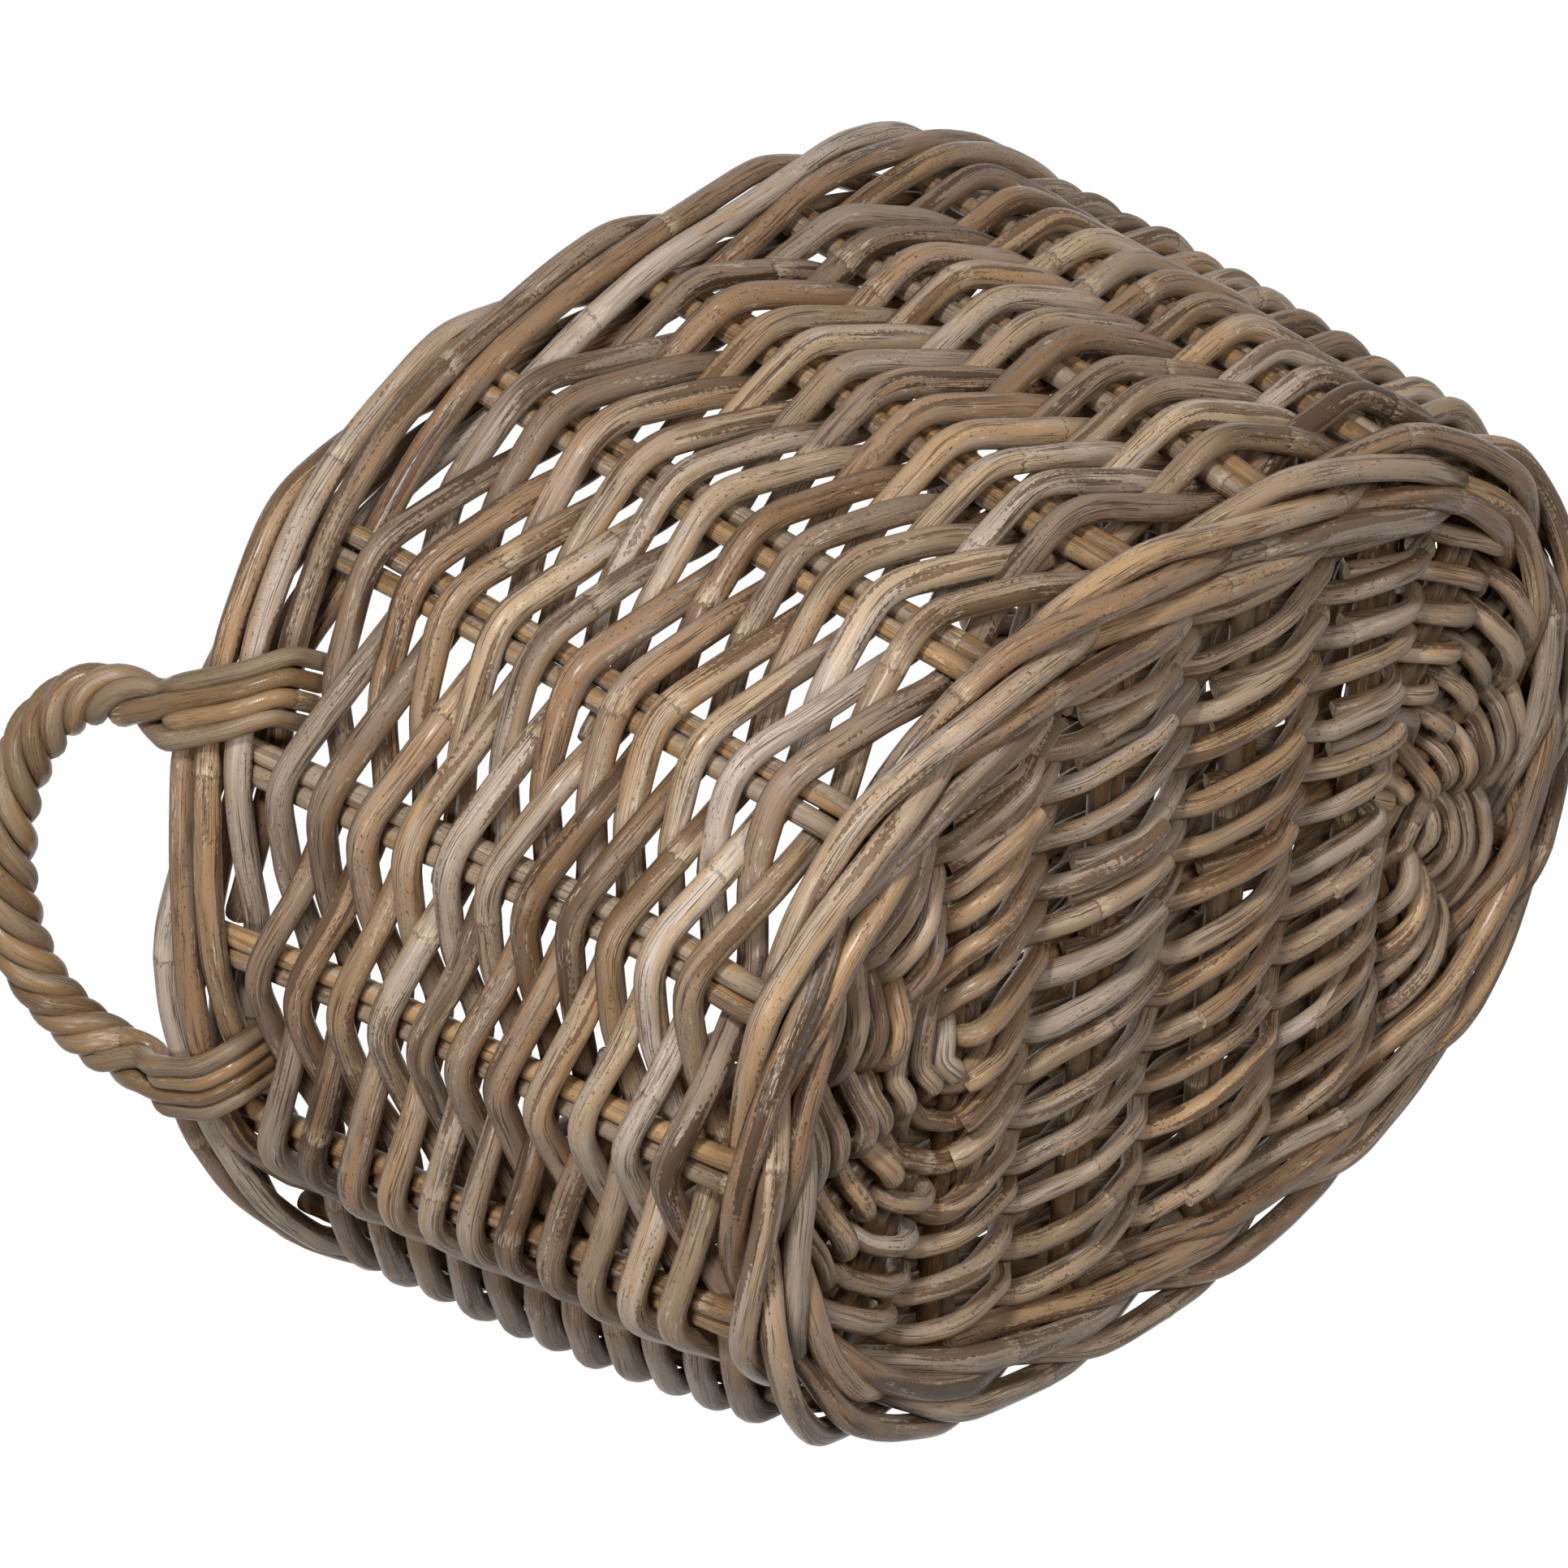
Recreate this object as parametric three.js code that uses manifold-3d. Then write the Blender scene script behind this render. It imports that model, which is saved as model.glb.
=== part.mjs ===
import * as THREE from 'three';
import Module from 'manifold-3d';
import { mergeVertices } from 'three/addons/utils/BufferGeometryUtils.js';

// Oval basket woven from round rattan rods, with a flared wall, a rolled border and two rope
// handles. Millimetres, +Z up, +X along the oval. The origin is on the floor at the middle.

// Oval on which the stakes stand, at the base and under the border
const BASE_LENGTH = 494;
const BASE_WIDTH = 336;
const RIM_LENGTH = 522;
const RIM_WIDTH = 406;
const WALL_BULGE = 2;
const OVAL_POWER = 2.55;

// Rods and the space left where two rods touch
const WEAVER = 9.3;
const STAKE_ROD = 9;
const HANDLE_ROD = 7.6;
const CONTACT_GAP = 0.3;
const ROD_SIDES = 5;
const SLIM_ROD_SIDES = 4;

// Stakes stand in pairs of rods, a little closer round the ends than along the sides
const STAKES = 18;
const END_STAKES = 3;
const END_CROWDING = 1.12;
const WALL_ROWS = 11;
const FOOT_RODS = 3;
const BORDER_RODS = 6;
const BASE_RISE = 8;
const BASE_SLOPE = 10;
const BEND_RADIUS = 12;
const FOOT_FLAT = 0.8;

// Rope handles
const HANDLE_SPAN = 1.96;
const HANDLE_SHIFT = 0.4;
const HANDLE_RISE = 54;
const HANDLE_STRANDS = 4;
const HANDLE_TURNS = 2;
const HANDLE_STEPS = 11;

// Heights that follow from the rods
const ROW_PITCH = 2.02 * WEAVER;
const FIRST_ROW = 2.9 * WEAVER;
const WALL_TOP = FIRST_ROW + (WALL_ROWS - 0.5) * ROW_PITCH;
const BORDER_PITCH = 1.3 * WEAVER;
const WRAP_SPACE = HANDLE_ROD + 2 * CONTACT_GAP;
const BORDER_LOW = WALL_TOP + WRAP_SPACE + WEAVER / 2;
const BORDER_HIGH = BORDER_LOW + 2 * BORDER_PITCH;
const STAKE_TOP = BORDER_LOW + 1.4 * BORDER_PITCH;

// Offsets of a strand from the line of the stakes
const PAIR_HALF = 0.48 * STAKE_ROD;
const REACH = (STAKE_ROD + WEAVER) / 2 + CONTACT_GAP;
const WALL_REACH = REACH * 1.33;
const INNER_REACH = REACH * 1.28;
const WALL_SWAY = 0.42 * WEAVER;
const FOOT_SWAY = 0.33 * WEAVER;
const FOOT_LOW = 0.54 * WEAVER;
const FOOT_HIGH = 0.86 * WEAVER;
const FOOT_CROSS = 0.73 * WEAVER;
const CROSS_OUT = 0.34 * WEAVER;
const CROSS_SWAY = 0.56 * WEAVER;
const BASE_REACH = REACH * 1.16;
const BORDER_REACH = REACH * 1.34;

// Base: strands wind round a spine of this half length
const SPINE = 0.256 * BASE_LENGTH;
const HUB_RADIUS = PAIR_HALF + STAKE_ROD / 2 + WEAVER + 3 * CONTACT_GAP;
const BASE_MARGIN = BEND_RADIUS + BASE_SLOPE + 0.3 * WEAVER;
const BASE_ROOM = BASE_WIDTH / 2 - BASE_MARGIN - HUB_RADIUS;
const BASE_ROUNDS = Math.floor(BASE_ROOM / (2 * (WEAVER + CONTACT_GAP)));

// Height of the base sticks at the edge, so that the foot strands are cut flat at the floor
const BEND_DROP = BEND_RADIUS * (1 - Math.SQRT1_2);
const FOOT_DROP = Math.SQRT1_2 * (WALL_REACH + FOOT_LOW) + WEAVER / 2 - BEND_DROP;
const BASE_LEVEL = FOOT_DROP - FOOT_FLAT;

const wasm = await Module();
wasm.setup();

function power(value) {
  return Math.sign(value) * Math.abs(value) ** (2 / OVAL_POWER);
}

function ovalAt(angle, length, width) {
  const x = (length / 2) * power(Math.cos(angle));
  const y = (width / 2) * power(Math.sin(angle));
  return new THREE.Vector2(x, y);
}

// Length of the mean oval up to each angle, counted longer round the ends than along the sides
function measureOval() {
  const samples = 1440;
  const width = (BASE_WIDTH + RIM_WIDTH) * END_CROWDING;
  const lengths = [0];
  let last = ovalAt(0, BASE_LENGTH + RIM_LENGTH, width);
  for (let i = 1; i <= samples; i += 1) {
    const angle = (2 * Math.PI * i) / samples;
    const next = ovalAt(angle, BASE_LENGTH + RIM_LENGTH, width);
    lengths.push(lengths[i - 1] + next.distanceTo(last));
    last = next;
  }
  return lengths;
}

const OVAL_LENGTHS = measureOval();

// Angle of a stake on the oval: stakes stand at equal steps of that length
function angleOf(stake) {
  const turns = Math.floor(stake / STAKES);
  const samples = OVAL_LENGTHS.length - 1;
  const wanted = (stake / STAKES - turns) * OVAL_LENGTHS[samples];
  let i = 1;
  while (i < samples && OVAL_LENGTHS[i] < wanted) {
    i += 1;
  }
  const part = (wanted - OVAL_LENGTHS[i - 1]) / (OVAL_LENGTHS[i] - OVAL_LENGTHS[i - 1]);
  return (2 * Math.PI * (i - 1 + part)) / samples;
}

// A frame is a point on the surface of the stakes, with the directions out and along a stake
function wallFrame(stake, height) {
  const rise = height / STAKE_TOP;
  const swell = 2 * WALL_BULGE * Math.max(1 - Math.abs(2 * rise - 1), 0);
  const length = THREE.MathUtils.lerp(BASE_LENGTH, RIM_LENGTH, rise) + swell;
  const width = THREE.MathUtils.lerp(BASE_WIDTH, RIM_WIDTH, rise) + swell;
  const here = ovalAt(angleOf(stake), length, width);
  const ahead = ovalAt(angleOf(stake + 0.05), length, width);
  const behind = ovalAt(angleOf(stake + STAKES - 0.05), length, width);
  const tangent = ahead.sub(behind).normalize();
  return {
    point: new THREE.Vector3(here.x, here.y, BASE_LEVEL + height),
    out: new THREE.Vector3(tangent.y, -tangent.x, 0),
    along: new THREE.Vector3(0, 0, 1),
  };
}

// Frame part of the way round the bend from the base (0) to the wall (1)
function bendFrame(stake, part) {
  const foot = wallFrame(stake, 0);
  const turn = (Math.PI / 2) * part;
  const out = foot.out.clone().multiplyScalar(Math.sin(turn));
  out.z = -Math.cos(turn);
  const along = foot.out.clone().multiplyScalar(Math.cos(turn));
  along.z = Math.sin(turn);
  const point = foot.point.clone().addScaledVector(foot.out, -BEND_RADIUS);
  point.z += BEND_RADIUS;
  point.addScaledVector(out, BEND_RADIUS);
  return { point, out, along };
}

function spineLine(stake) {
  const foot = wallFrame(stake, 0).point;
  const hub = new THREE.Vector3(THREE.MathUtils.clamp(foot.x, -SPINE, SPINE), 0, BASE_LEVEL);
  const length = foot.distanceTo(hub);
  const along = foot.clone().sub(hub).normalize();
  return { hub, along, length };
}

// Frame on the base at a distance from the spine
function baseFrame(stake, distance) {
  const line = spineLine(stake);
  const point = line.hub.clone().addScaledVector(line.along, distance);
  const fromBend = line.length - BEND_RADIUS - distance;
  point.z += BASE_RISE * THREE.MathUtils.clamp(fromBend / BASE_SLOPE, 0, 1);
  return { point, out: new THREE.Vector3(0, 0, -1), along: line.along };
}

function offset(frame, outward, onward) {
  const point = frame.point.clone();
  point.addScaledVector(frame.out, outward);
  point.addScaledVector(frame.along, onward);
  return { point, out: frame.out };
}

function roundSection(diameter, sides) {
  const points = [];
  for (let i = 0; i < sides; i += 1) {
    const angle = Math.PI + (2 * Math.PI * i) / sides;
    points.push(new THREE.Vector2(Math.cos(angle), Math.sin(angle)).multiplyScalar(diameter / 2));
  }
  return points;
}

// Outline of two rods side by side, first the out direction and then the side
function pairSection() {
  const radius = STAKE_ROD / 2;
  const right = [[0.5, 0], [1, PAIR_HALF], [0, PAIR_HALF + radius], [-1, PAIR_HALF]];
  const points = right.map(([out, side]) => new THREE.Vector2(out * radius, side));
  const left = points.map((point) => point.clone().negate());
  return [...points, ...left];
}

// Sweeps a section along stations, closed on itself or with flat ends
function sweep(stations, section, closed) {
  const count = stations.length;
  const sides = section.length;
  const positions = [];
  stations.forEach((station, i) => {
    const before = stations[closed ? (i + count - 1) % count : Math.max(i - 1, 0)].point;
    const after = stations[closed ? (i + 1) % count : Math.min(i + 1, count - 1)].point;
    const toward = after.clone().sub(before).normalize();
    const out = station.out.clone().addScaledVector(toward, -station.out.dot(toward)).normalize();
    const side = new THREE.Vector3().crossVectors(toward, out);
    for (const place of section) {
      const corner = station.point.clone().addScaledVector(out, place.x).addScaledVector(side, place.y);
      positions.push(corner.x, corner.y, corner.z);
    }
  });
  const faces = [];
  for (let i = 0; i < (closed ? count : count - 1); i += 1) {
    for (let k = 0; k < sides; k += 1) {
      const a = i * sides + k;
      const b = i * sides + ((k + 1) % sides);
      const c = ((i + 1) % count) * sides + k;
      const d = ((i + 1) % count) * sides + ((k + 1) % sides);
      faces.push(a, b, d, a, d, c);
    }
  }
  if (!closed) {
    const last = (count - 1) * sides;
    for (const [a, b, c] of THREE.ShapeUtils.triangulateShape(section, [])) {
      faces.push(a, c, b, last + a, last + b, last + c);
    }
  }
  const geometry = new THREE.BufferGeometry();
  geometry.setAttribute('position', new THREE.Float32BufferAttribute(positions, 3));
  geometry.setIndex(faces);
  geometry.computeVertexNormals();
  return geometry;
}

function toManifold(geometry) {
  const plain = geometry.clone();
  plain.deleteAttribute('normal');
  plain.deleteAttribute('uv');
  const merged = mergeVertices(plain, 1e-4);
  return new wasm.Manifold(new wasm.Mesh({
    numProp: 3,
    vertProperties: new Float32Array(merged.attributes.position.array),
    triVerts: new Uint32Array(merged.index.array),
  }));
}

function fromManifold(solid) {
  const mesh = solid.getMesh();
  const geometry = new THREE.BufferGeometry();
  geometry.setAttribute('position', new THREE.Float32BufferAttribute(mesh.vertProperties, 3));
  geometry.setIndex([...mesh.triVerts]);
  geometry.computeVertexNormals();
  return geometry;
}

// Cuts away whatever reaches below the floor
function cutAtFloor(geometry) {
  const block = new THREE.BoxGeometry(2 * RIM_LENGTH, 2 * RIM_LENGTH, BASE_LENGTH);
  block.translate(0, 0, -BASE_LENGTH / 2);
  return fromManifold(toManifold(geometry).subtract(toManifold(block)));
}

function rodMaterial(colour, roughness) {
  return new THREE.MeshStandardMaterial({ color: colour, roughness, metalness: 0 });
}

function stakeMaterial() {
  return rodMaterial(0x9a846a, 0.75);
}

function weaverMaterial(index) {
  const colours = [0x968878, 0x8a7258, 0xa39683, 0x7f6a52, 0x9c8263];
  return rodMaterial(colours[index % colours.length], 0.62);
}

function handleMaterial() {
  return rodMaterial(0x8c7458, 0.6);
}

// One stake from its top down to the bend, then onto the base
function stakeLine(stake) {
  const heights = [STAKE_TOP, STAKE_TOP / 2, BEND_RADIUS];
  const stations = heights.map((height) => wallFrame(stake, height));
  stations.push(bendFrame(stake, 0.5));
  const reach = spineLine(stake).length - BEND_RADIUS;
  stations.push(baseFrame(stake, reach));
  stations.push(baseFrame(stake, reach - BASE_SLOPE));
  return stations;
}

// A pair of rods that crosses the base and stands up as a stake at both sides
function crossPair(stake) {
  const near = stakeLine(stake);
  const far = stakeLine(STAKES - stake).reverse();
  return sweep([...near, ...far], pairSection(), false);
}

// The long pair rides over the cross pairs in the middle of the base
function longPair() {
  const lift = STAKE_ROD + CONTACT_GAP;
  const half = (stake) => {
    const stations = stakeLine(stake);
    stations.push(baseFrame(stake, HUB_RADIUS - WEAVER / 2));
    stations.push(offset(baseFrame(stake, 0), -lift, 0));
    return stations;
  };
  return sweep([...half(STAKES / 2), ...half(0).reverse()], pairSection(), false);
}

// A stake at a rounded end, whose foot runs toward the spine until it meets its neighbours
function endPair(stake) {
  const start = 4.7 * STAKE_ROD;
  return sweep([...stakeLine(stake), baseFrame(stake, start)], pairSection(), false);
}

// One of two strands that twist about each other round the stakes
function wallStrand(row, strand) {
  const height = FIRST_ROW + row * ROW_PITCH;
  const stations = [];
  for (let stake = 0; stake < STAKES; stake += 1) {
    const side = (stake + strand) % 2 === 0 ? 1 : -1;
    const reach = side > 0 ? WALL_REACH : -INNER_REACH;
    const between = wallFrame(stake - 0.5, height);
    stations.push(offset(between, -side * CROSS_OUT, side * CROSS_SWAY));
    stations.push(offset(wallFrame(stake, height), reach, side * WALL_SWAY));
  }
  return sweep(stations, roundSection(WEAVER, ROD_SIDES), true);
}

// Steps between a stake and the nearer end of the oval
function stakesFromEnd(stake) {
  const number = stake % (STAKES / 2);
  return Math.min(number, STAKES / 2 - number);
}

// A foot rod runs in front of two stakes and behind the third, at the bend from base to wall
function footStrand(strand) {
  const stations = [];
  for (let stake = strand; stake < STAKES + strand; stake += FOOT_RODS) {
    const places = [
      [0, WALL_REACH, FOOT_HIGH],
      [1, WALL_REACH, -FOOT_LOW],
      [1.5, 0, -FOOT_CROSS],
      [2, -INNER_REACH, FOOT_SWAY],
      [2.5, 0, FOOT_CROSS],
    ];
    for (const [onward, outward, upward] of places) {
      stations.push(offset(bendFrame(stake + onward, 0.5), outward, upward));
    }
  }
  return cutAtFloor(sweep(stations, roundSection(WEAVER, ROD_SIDES), true));
}

// Side of the base sticks on which a strand passes, down (1) or up (-1)
function baseSide(stake) {
  const number = stake % STAKES;
  const fromEnd = Math.min(number, STAKES - number);
  if (fromEnd <= END_STAKES) {
    return -1;
  }
  if (fromEnd >= STAKES / 2 - END_STAKES) {
    return 1;
  }
  return number % 2 === 0 ? 1 : -1;
}

// A strand that winds outward round the spine, over and under the base sticks
function baseStrand(strand) {
  const sign = strand === 0 ? 1 : -1;
  const steps = BASE_ROUNDS * STAKES;
  const stations = [];
  for (let step = 0; step <= steps; step += 1) {
    // The inner rounds pass inside the tips of the sticks beside each end
    const fromEnd = stakesFromEnd(step);
    if (fromEnd > 0 && fromEnd < 3 - step / STAKES) {
      continue;
    }
    const room = spineLine(step).length - BASE_MARGIN - HUB_RADIUS;
    const distance = HUB_RADIUS + (room * step) / steps;
    const lane = (sign * room) / BASE_ROUNDS / 4;
    stations.push(offset(baseFrame(step, distance), sign * baseSide(step) * BASE_REACH, lane));
  }
  return sweep(stations, roundSection(WEAVER, SLIM_ROD_SIDES), false);
}

// A border rod climbs the outside of the stakes, turns in over their tops and comes down inside
function borderRod(rod) {
  const half = BORDER_RODS / 2;
  const place = (stake) => {
    const phase = (((stake - rod) % BORDER_RODS) + BORDER_RODS) % BORDER_RODS;
    const outside = phase < half;
    const level = outside ? phase : BORDER_RODS - 1 - phase;
    const height = BORDER_LOW + (level * (BORDER_HIGH - BORDER_LOW)) / (half - 1);
    return { height, outward: outside ? BORDER_REACH : -BORDER_REACH };
  };
  const stations = [];
  for (let stake = 0; stake < STAKES; stake += 1) {
    const here = place(stake);
    stations.push(offset(wallFrame(stake, here.height), here.outward, 0));
    if (stakesFromEnd(stake + 0.5) < 1.5) {
      const next = place(stake + 1);
      const height = (here.height + next.height) / 2;
      stations.push(offset(wallFrame(stake + 0.5, height), (here.outward + next.outward) / 2, 0));
    }
  }
  return sweep(stations, roundSection(WEAVER, ROD_SIDES), true);
}

// Foot of a handle strand: from inside the border, under it and up its outer face
function handleFoot(stake, shift) {
  const flat = WEAVER * Math.cos(Math.PI / ROD_SIDES);
  const reach = BORDER_REACH + (flat + HANDLE_ROD) / 2 + CONTACT_GAP;
  const low = BORDER_LOW - (WEAVER + HANDLE_ROD) / 2 - CONTACT_GAP;
  const profile = [
    [-reach * 0.55, low],
    [reach * 0.62, low],
    [reach, BORDER_LOW],
    [reach, BORDER_HIGH],
  ];
  return profile.map(([outward, height]) => {
    const frame = wallFrame(stake, height);
    const side = new THREE.Vector3(-frame.out.y, frame.out.x, 0);
    const station = offset(frame, outward, 0);
    station.point.addScaledVector(side, shift);
    return station;
  });
}

// Centre line of a rope handle from foot to foot, and its directions
function handleFrame(part, middle) {
  const angle = Math.PI * part;
  const stake = middle - (HANDLE_SPAN / 2) * Math.cos(angle);
  const start = BORDER_HIGH + WEAVER / 2 + HANDLE_ROD;
  const height = start + HANDLE_RISE * Math.sin(angle) ** 0.8;
  const frame = wallFrame(stake, BORDER_HIGH);
  const chord = wallFrame(middle, BORDER_HIGH);
  const point = frame.point.clone().addScaledVector(frame.out, BORDER_REACH);
  point.z = BASE_LEVEL + height;
  return { point, out: chord.out };
}

// One of the strands twisted into a rope handle, wrapped round the border at both feet
function handleStrand(strand, middle) {
  const radius = 0.92 * HANDLE_ROD;
  const order = [-1.5, -0.5, 1.5, 0.5];
  const shift = order[strand] * (HANDLE_ROD * 1.22 + CONTACT_GAP);
  const first = handleFoot(middle - HANDLE_SPAN / 2, shift);
  const last = handleFoot(middle + HANDLE_SPAN / 2, -shift).reverse();
  const stations = [...first];
  for (let step = 0; step <= HANDLE_STEPS; step += 1) {
    const part = step / HANDLE_STEPS;
    const before = handleFrame(Math.max(part - 0.02, 0), middle).point;
    const after = handleFrame(Math.min(part + 0.02, 1), middle).point;
    const frame = handleFrame(part, middle);
    const toward = after.sub(before).normalize();
    const out = frame.out.clone().addScaledVector(toward, -frame.out.dot(toward)).normalize();
    const side = new THREE.Vector3().crossVectors(toward, out);
    const angle = 2 * Math.PI * ((strand - 1.25) / HANDLE_STRANDS + HANDLE_TURNS * part);
    const point = frame.point.clone().addScaledVector(out, radius * Math.cos(angle));
    point.addScaledVector(side, radius * Math.sin(angle));
    stations.push({ point, out });
  }
  stations.push(...last);
  return sweep(stations, roundSection(HANDLE_ROD, SLIM_ROD_SIDES), false);
}

function add(group, name, geometry, material) {
  const mesh = new THREE.Mesh(geometry, material);
  mesh.name = name;
  group.add(mesh);
}

function buildFrame(group) {
  const sides = STAKES / 2;
  add(group, 'long_pair', longPair(), stakeMaterial());
  for (let stake = 1; stake < sides; stake += 1) {
    if (stake > 2 && stake < sides - 2) {
      add(group, `cross_pair_${stake}`, crossPair(stake), stakeMaterial());
    } else {
      add(group, `end_pair_${stake}`, endPair(stake), stakeMaterial());
      add(group, `end_pair_${STAKES - stake}`, endPair(STAKES - stake), stakeMaterial());
    }
  }
}

function buildWeave(group) {
  const letters = ['a', 'b', 'c'];
  for (let strand = 0; strand < FOOT_RODS; strand += 1) {
    const geometry = footStrand(strand);
    add(group, `foot_strand_${letters[strand]}`, geometry, weaverMaterial(strand + 3));
  }
  letters.slice(0, 2).forEach((letter, strand) => {
    add(group, `base_strand_${letter}`, baseStrand(strand), weaverMaterial(strand + 1));
    for (let row = 0; row < WALL_ROWS; row += 1) {
      const name = `wall_row_${row + 1}_${letter}`;
      add(group, name, wallStrand(row, strand), weaverMaterial(2 * row + 3 * strand));
    }
  });
}

function buildBorder(group) {
  for (let rod = 0; rod < BORDER_RODS; rod += 1) {
    add(group, `border_rod_${rod + 1}`, borderRod(rod), weaverMaterial(rod + 1));
  }
}

function buildHandles(group) {
  const middles = { left: STAKES / 2 + HANDLE_SHIFT, right: HANDLE_SHIFT };
  for (const [side, middle] of Object.entries(middles)) {
    for (let strand = 0; strand < HANDLE_STRANDS; strand += 1) {
      add(group, `handle_${side}_strand_${strand + 1}`, handleStrand(strand, middle), handleMaterial());
    }
  }
}

const basket = new THREE.Group();
buildFrame(basket);
buildWeave(basket);
buildBorder(basket);
buildHandles(basket);

export default basket;
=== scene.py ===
import math

import bpy
import numpy as np
from mathutils import Matrix, Vector


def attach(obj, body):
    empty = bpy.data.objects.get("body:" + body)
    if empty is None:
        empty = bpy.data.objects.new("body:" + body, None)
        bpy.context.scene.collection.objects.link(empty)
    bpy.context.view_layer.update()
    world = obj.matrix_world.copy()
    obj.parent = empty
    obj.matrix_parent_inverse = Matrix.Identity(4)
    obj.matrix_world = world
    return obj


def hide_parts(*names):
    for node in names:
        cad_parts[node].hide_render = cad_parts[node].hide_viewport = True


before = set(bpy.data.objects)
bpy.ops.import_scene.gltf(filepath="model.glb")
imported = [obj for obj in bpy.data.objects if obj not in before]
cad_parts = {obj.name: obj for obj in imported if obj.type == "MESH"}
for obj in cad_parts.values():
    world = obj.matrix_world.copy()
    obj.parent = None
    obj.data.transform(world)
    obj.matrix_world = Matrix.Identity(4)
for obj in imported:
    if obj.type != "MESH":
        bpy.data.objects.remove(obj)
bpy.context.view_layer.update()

# Oval basket of grey rattan rods, in metres, +Z up, origin on the floor at the middle.
# A rod follows its CAD solid, except in the ropes of the handles, in the lifted end of the
# border and where the rods of the base climb.
BASE_LENGTH, BASE_WIDTH = 0.494, 0.336
RIM_LENGTH, RIM_WIDTH = 0.522, 0.406
WALL_BULGE, OVAL_POWER = 0.002, 2.55
WEAVER, STAKE_ROD, HANDLE_ROD = 0.0093, 0.009, 0.0076
CONTACT_GAP = 0.0003
STAKES, END_CROWDING = 18, 1.12
WALL_ROWS, BORDER_RODS, BASE_ROUNDS = 11, 6, 6
BASE_RISE, BASE_SLOPE, BEND_RADIUS = 0.008, 0.010, 0.012
FOOT_FLAT = 0.0008

ROW_PITCH = 2.02 * WEAVER
FIRST_ROW = 2.9 * WEAVER
WALL_TOP = FIRST_ROW + (WALL_ROWS - 0.5) * ROW_PITCH
BORDER_PITCH = 1.3 * WEAVER
BORDER_LOW = WALL_TOP + HANDLE_ROD + 2 * CONTACT_GAP + WEAVER / 2
BORDER_HIGH = BORDER_LOW + 2 * BORDER_PITCH
STAKE_TOP = BORDER_LOW + 1.4 * BORDER_PITCH
PAIR_HALF = 0.48 * STAKE_ROD
REACH = (STAKE_ROD + WEAVER) / 2 + CONTACT_GAP
WALL_REACH, INNER_REACH = 1.33 * REACH, 1.28 * REACH
WALL_SWAY, FOOT_SWAY = 0.42 * WEAVER, 0.33 * WEAVER
FOOT_LOW, FOOT_HIGH, FOOT_CROSS = 0.54 * WEAVER, 0.86 * WEAVER, 0.73 * WEAVER
CROSS_OUT, CROSS_SWAY = 0.36 * WEAVER, 0.60 * WEAVER
BASE_REACH, BORDER_REACH = 1.16 * REACH, 1.34 * REACH
SPINE = 0.256 * BASE_LENGTH
HUB_RADIUS = PAIR_HALF + STAKE_ROD / 2 + WEAVER + 3 * CONTACT_GAP
BASE_MARGIN = BEND_RADIUS + BASE_SLOPE + 0.3 * WEAVER
FOOT_DROP = (math.sqrt(0.5) * (WALL_REACH + FOOT_LOW) + WEAVER / 2
             - BEND_RADIUS * (1 - math.sqrt(0.5)))
BASE_LEVEL = FOOT_DROP - FOOT_FLAT
STICK_TIP = 4.7 * STAKE_ROD

# Height by which one end of the border is lifted, and how far it starts from the middle
END_LIFT, LIFT_START, LIFT_EASE = 0.0052, 0.08, 0.15

# Distances between the points of a line while it is cut, while it is rounded and at the end
LINE_STEP, FINE_STEP, PATH_STEP = 0.002, 0.001, 0.0026
TANGENT_STEP = 0.05
ROD_SIDES = 14
LUMP_HEIGHT, LUMP_SIZE = 0.0004, 0.12
NODE_BULGE, NODE_REACH = 0.035, 0.004
SWAY_LENGTH, SIZE_SWAY, SIZE_LENGTH = 0.05, 0.035, 0.03
THIN_LENGTH, THIN_EASE = 0.080, 0.030
END_SIZE = 0.93
# Painted shade on rods below this height above the floor, full this far below it
SHADE_TOP, SHADE_EASE = 0.045, 0.03
MILLIMETRES, SEED_SPREAD = 1000.0, 900.0


# Places on the basket

def oval_power(value):
    return np.sign(value) * np.abs(value) ** (2 / OVAL_POWER)


def oval_at(angle, length, width):
    along = length / 2 * oval_power(np.cos(angle))
    return np.stack([along, width / 2 * oval_power(np.sin(angle))], -1)


OVAL_ANGLES = np.linspace(0, 2 * math.pi, 1441)
_line = oval_at(OVAL_ANGLES, BASE_LENGTH + RIM_LENGTH, (BASE_WIDTH + RIM_WIDTH) * END_CROWDING)
OVAL_LENGTHS = np.concatenate([[0], np.cumsum(np.linalg.norm(np.diff(_line, axis=0), axis=1))])


def angle_of(stake):
    turns = stake / STAKES - np.floor(stake / STAKES)
    return np.interp(turns * OVAL_LENGTHS[-1], OVAL_LENGTHS, OVAL_ANGLES)


def wall_frame(stake, height):
    """Point on the surface of the stakes, the direction out of the wall and the direction up it."""
    stake, height = np.broadcast_arrays(np.asarray(stake, float), np.asarray(height, float))
    rise = height / STAKE_TOP
    swell = 2 * WALL_BULGE * np.maximum(1 - np.abs(2 * rise - 1), 0)
    length = BASE_LENGTH + (RIM_LENGTH - BASE_LENGTH) * rise + swell
    width = BASE_WIDTH + (RIM_WIDTH - BASE_WIDTH) * rise + swell
    here = oval_at(angle_of(stake), length, width)
    tangent = oval_at(angle_of(stake + TANGENT_STEP), length, width)
    tangent = tangent - oval_at(angle_of(stake - TANGENT_STEP), length, width)
    tangent /= np.linalg.norm(tangent, axis=-1, keepdims=True)
    point = np.concatenate([here, (BASE_LEVEL + height)[..., None]], -1)
    out = np.stack([tangent[..., 1], -tangent[..., 0], np.zeros_like(height)], -1)
    return point, out, np.broadcast_to([0.0, 0.0, 1.0], out.shape)


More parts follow.
